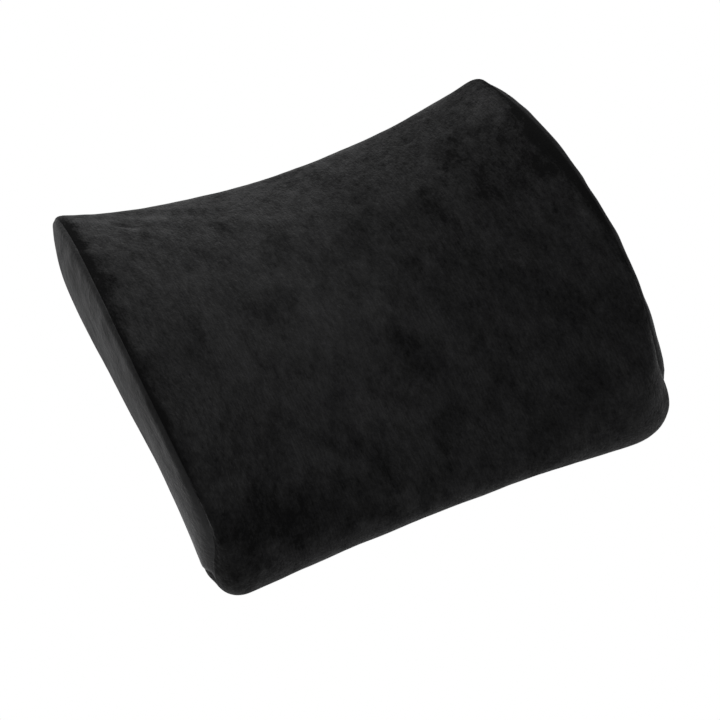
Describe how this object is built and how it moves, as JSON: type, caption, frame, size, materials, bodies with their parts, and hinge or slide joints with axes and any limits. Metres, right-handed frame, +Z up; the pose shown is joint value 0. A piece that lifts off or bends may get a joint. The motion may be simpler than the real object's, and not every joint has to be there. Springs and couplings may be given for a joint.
{
  "type": "lumbar support cushion",
  "caption": "Contoured foam lumbar cushion in a zipped black pile cover, concave across the back and full at mid height, with a buckled elastic strap behind.",
  "frame": {"origin": "middle of the bottom edge of the flat back face, at the height of the lowest point of the side seams", "axes": "+X to the right seen from the front, +Y from the front face towards the backrest, +Z up in use"},
  "size_m": [0.33, 0.0973, 0.31],
  "materials": {
    "pile_fabric": "short brushed velour pile, soft sheen at grazing angles",
    "memory_foam": "open-cell moulded foam, matt",
    "knit_liner": "thin tricot knit, matt",
    "zip_tape": "woven polyester tape",
    "zip_coil": "nylon monofilament coil",
    "zip_metal": "black lacquered zinc casting",
    "webbing": "ribbed elastic webbing",
    "thread": "polyester sewing thread",
    "label_cloth": "blank satin ribbon",
    "buckle_plastic": "fine-textured moulded acetal"
  },
  "bodies": {
    "cushion": {"foam_core": "memory_foam", "inner_liner": "knit_liner", "front_panel": "pile_fabric", "side_panel_left": "pile_fabric", "side_panel_right": "pile_fabric", "back_panel_upper": "pile_fabric", "back_panel_lower": "pile_fabric", "zip_tape_upper": "zip_tape", "zip_tape_lower": "zip_tape", "zip_coil_upper": "zip_coil", "zip_coil_lower": "zip_coil", "zip_top_stops": "zip_metal", "zip_bottom_stop": "zip_metal", "strap_left": "webbing", "strap_right": "webbing", "tail_stitching": "thread", "care_label": "label_cloth", "buckle_male": "buckle_plastic"},
    "zip_slider": {"zip_slider": "zip_metal"},
    "pull_tab": {"zip_pull_tab": "zip_metal"},
    "buckle_socket": {"buckle_female": "buckle_plastic", "loop_bartack": "thread"},
    "prong_upper": {"buckle_arm_upper": "buckle_plastic"},
    "prong_lower": {"buckle_arm_lower": "buckle_plastic"},
    "keeper": {"strap_keeper": "webbing"}
  },
  "joints": [
    {"name": "zip_slide", "type": "slide", "parent": "cushion", "child": "zip_slider", "axis": [1, 0, 0], "range_m": [-0.262, 0], "deforming": ["zip_coil_upper", "zip_coil_lower"]},
    {"name": "tab_flip", "type": "hinge", "parent": "zip_slider", "child": "pull_tab", "pos_m": [0.132, 0.0015, 0.072], "axis": [0, 0, 1], "range_deg": [-178, 0]},
    {"name": "buckle_unplug", "type": "slide", "parent": "cushion", "child": "buckle_socket", "axis": [1, 0, 0], "range_m": [0, 0.024], "deforming": ["strap_right", "buckle_arm_upper", "buckle_arm_lower"]},
    {"name": "prong_squeeze", "type": "hinge", "parent": "cushion", "child": "prong_upper", "pos_m": [-0.0095, 0.0049, 0.1825], "axis": [0, 1, 0], "range_deg": [0, 12]},
    {"name": "prong_follow", "type": "hinge", "parent": "cushion", "child": "prong_lower", "pos_m": [-0.0095, 0.0049, 0.1615], "axis": [0, 1, 0], "range_deg": [-12, 0]},
    {"name": "keeper_slide", "type": "slide", "parent": "cushion", "child": "keeper", "axis": [1, 0, 0], "range_m": [0, 0.03]}
  ],
  "couplings": [
    {"joint": "prong_follow", "follows": "prong_squeeze", "ratio": -1}
  ]
}
